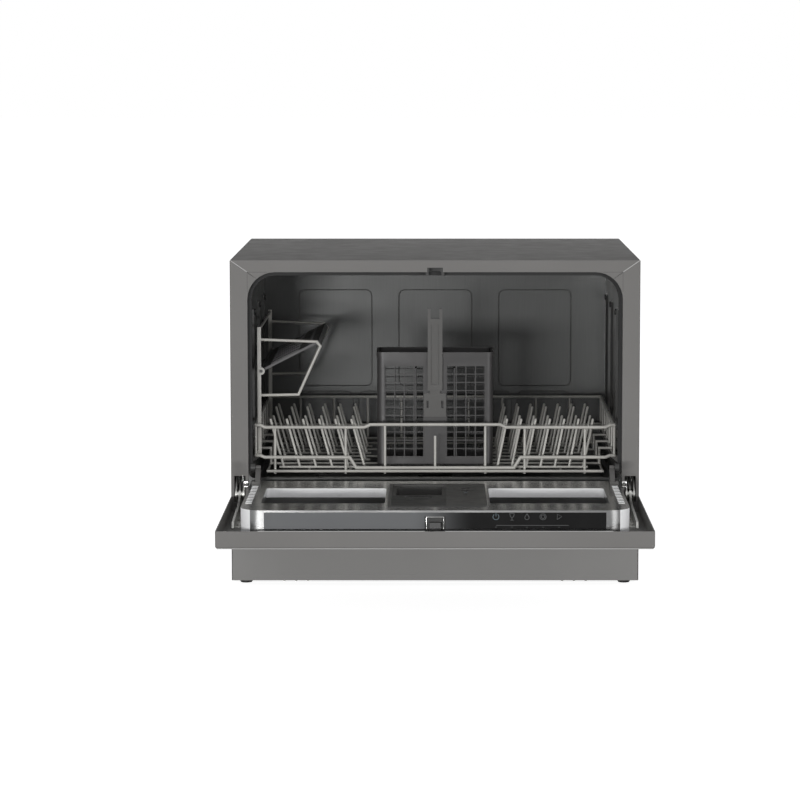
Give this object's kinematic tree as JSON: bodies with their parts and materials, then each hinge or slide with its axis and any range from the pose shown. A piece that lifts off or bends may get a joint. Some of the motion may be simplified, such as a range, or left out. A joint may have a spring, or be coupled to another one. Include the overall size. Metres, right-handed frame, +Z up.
{
  "type": "countertop dishwasher",
  "caption": "Grey countertop dishwasher with a drop-down door, wire rack on rollers, cutlery basket, cup shelf and spray arm.",
  "frame": {"origin": "on the floor under the feet, in the middle of the footprint of the machine with its door open", "axes": "+Z up, +Y from the opened door towards the back of the cabinet, +X to the right as seen from the front"},
  "size_m": [0.55, 0.81, 0.44],
  "materials": {
    "painted_steel": "satin warm grey paint",
    "stainless_steel": "brushed",
    "zinc_steel": "zinc plated",
    "spring_steel": "drawn wire",
    "coated_wire": "light grey nylon coat",
    "dark_plastic": "fine grain",
    "grey_plastic": "fine grain",
    "gloss_panel": "polished",
    "rubber": "matte",
    "black_plastic": "matte",
    "white_plastic": "satin",
    "bitumen": "matte",
    "circuit_board": "solder mask"
  },
  "bodies": {
    "cabinet": {"top_panel": "painted_steel", "side_panel_left": "painted_steel", "side_panel_right": "painted_steel", "back_panel": "painted_steel", "base_pan": "zinc_steel", "plinth_panel": "painted_steel", "tub": "stainless_steel", "door_gasket": "rubber", "door_strike": "dark_plastic", "runner_left": "grey_plastic", "runner_right": "grey_plastic", "sump": "black_plastic", "filter_plate": "stainless_steel", "spray_hub": "grey_plastic", "circulation_pump": "black_plastic", "drain_pump": "black_plastic", "heater": "stainless_steel", "inlet_valve": "white_plastic", "drain_spigot": "black_plastic", "cord_gland": "rubber", "air_break": "white_plastic", "sound_mat": "bitumen", "hinge_bracket_left": "zinc_steel", "hinge_bracket_right": "zinc_steel", "foot_front_left": "rubber", "foot_front_right": "rubber", "foot_rear_left": "rubber", "foot_rear_right": "rubber", "case_screws": "zinc_steel"},
    "door": {"door_panel": "painted_steel", "door_liner": "stainless_steel", "control_panel": "gloss_panel", "control_board": "circuit_board", "damping_pad": "bitumen", "handle_pocket": "dark_plastic", "bottom_seal": "rubber", "dispenser_body": "grey_plastic", "latch_housing": "dark_plastic", "hinge_arm_left": "zinc_steel", "hinge_arm_right": "zinc_steel", "door_spring_left": "spring_steel", "door_spring_right": "spring_steel", "roller_bracket_left": "grey_plastic", "roller_bracket_right": "grey_plastic"},
    "rack": {"rack_frame": "coated_wire", "rack_floor": "coated_wire", "tines_left": "coated_wire", "tines_right": "coated_wire", "shelf_stand": "coated_wire"},
    "cutlery_basket": {"basket_body": "dark_plastic", "basket_mesh": "dark_plastic", "basket_handle": "grey_plastic"},
    "cup_shelf": {"cup_shelf": "grey_plastic"},
    "spray_arm": {"spray_arm": "grey_plastic"},
    "filter_cup": {"filter_cup": "grey_plastic"},
    "roller_left": {"roller_left": "white_plastic"},
    "roller_right": {"roller_right": "white_plastic"},
    "detergent_lid": {"detergent_lid": "dark_plastic"},
    "rinse_cap": {"rinse_cap": "grey_plastic"},
    "latch_bolt": {"latch_bolt": "zinc_steel"}
  },
  "joints": [
    {"name": "door_hinge", "type": "hinge", "parent": "cabinet", "child": "door", "pos_m": [0, -0.0915, 0.1235], "axis": [-1, 0, 0], "range_deg": [0, 90], "deforming": ["door_spring_left", "door_spring_right"]},
    {"name": "rack_slide", "type": "slide", "parent": "cabinet", "child": "rack", "axis": [0, 1, 0], "range_m": [-0.25, 0]},
    {"name": "basket_lift", "type": "slide", "parent": "rack", "child": "cutlery_basket", "axis": [0, 0, 1], "range_m": [0, 0.045]},
    {"name": "cup_shelf_hinge", "type": "hinge", "parent": "rack", "child": "cup_shelf", "pos_m": [-0.236, 0.092, 0.286], "axis": [0, -1, 0], "range_deg": [0, 60]},
    {"name": "spray_arm_spin", "type": "hinge", "parent": "cabinet", "child": "spray_arm", "pos_m": [0, 0.115, 0.129], "axis": [0, 0, 1], "continuous": true},
    {"name": "filter_cup_twist", "type": "hinge", "parent": "cabinet", "child": "filter_cup", "pos_m": [0.085, 0.057, 0.11], "axis": [0, 0, 1], "range_deg": [0, 60]},
    {"name": "roller_left_spin", "type": "hinge", "parent": "door", "child": "roller_left", "pos_m": [-0.2433, -0.12, 0.1635], "axis": [1, 0, 0], "continuous": true},
    {"name": "roller_right_spin", "type": "hinge", "parent": "door", "child": "roller_right", "pos_m": [0.2433, -0.12, 0.1635], "axis": [1, 0, 0], "continuous": true},
    {"name": "detergent_lid_slide", "type": "slide", "parent": "door", "child": "detergent_lid", "axis": [0, 1, 0], "range_m": [0, 0.094], "stiffness_N_per_m": 20},
    {"name": "rinse_cap_turn", "type": "hinge", "parent": "door", "child": "rinse_cap", "pos_m": [0.04, -0.1925, 0.1445], "axis": [0, 0, 1], "range_deg": [0, 90]},
    {"name": "latch_bolt_slide", "type": "slide", "parent": "door", "child": "latch_bolt", "axis": [0, -1, 0], "range_m": [0, 0.005], "stiffness_N_per_m": 200}
  ]
}
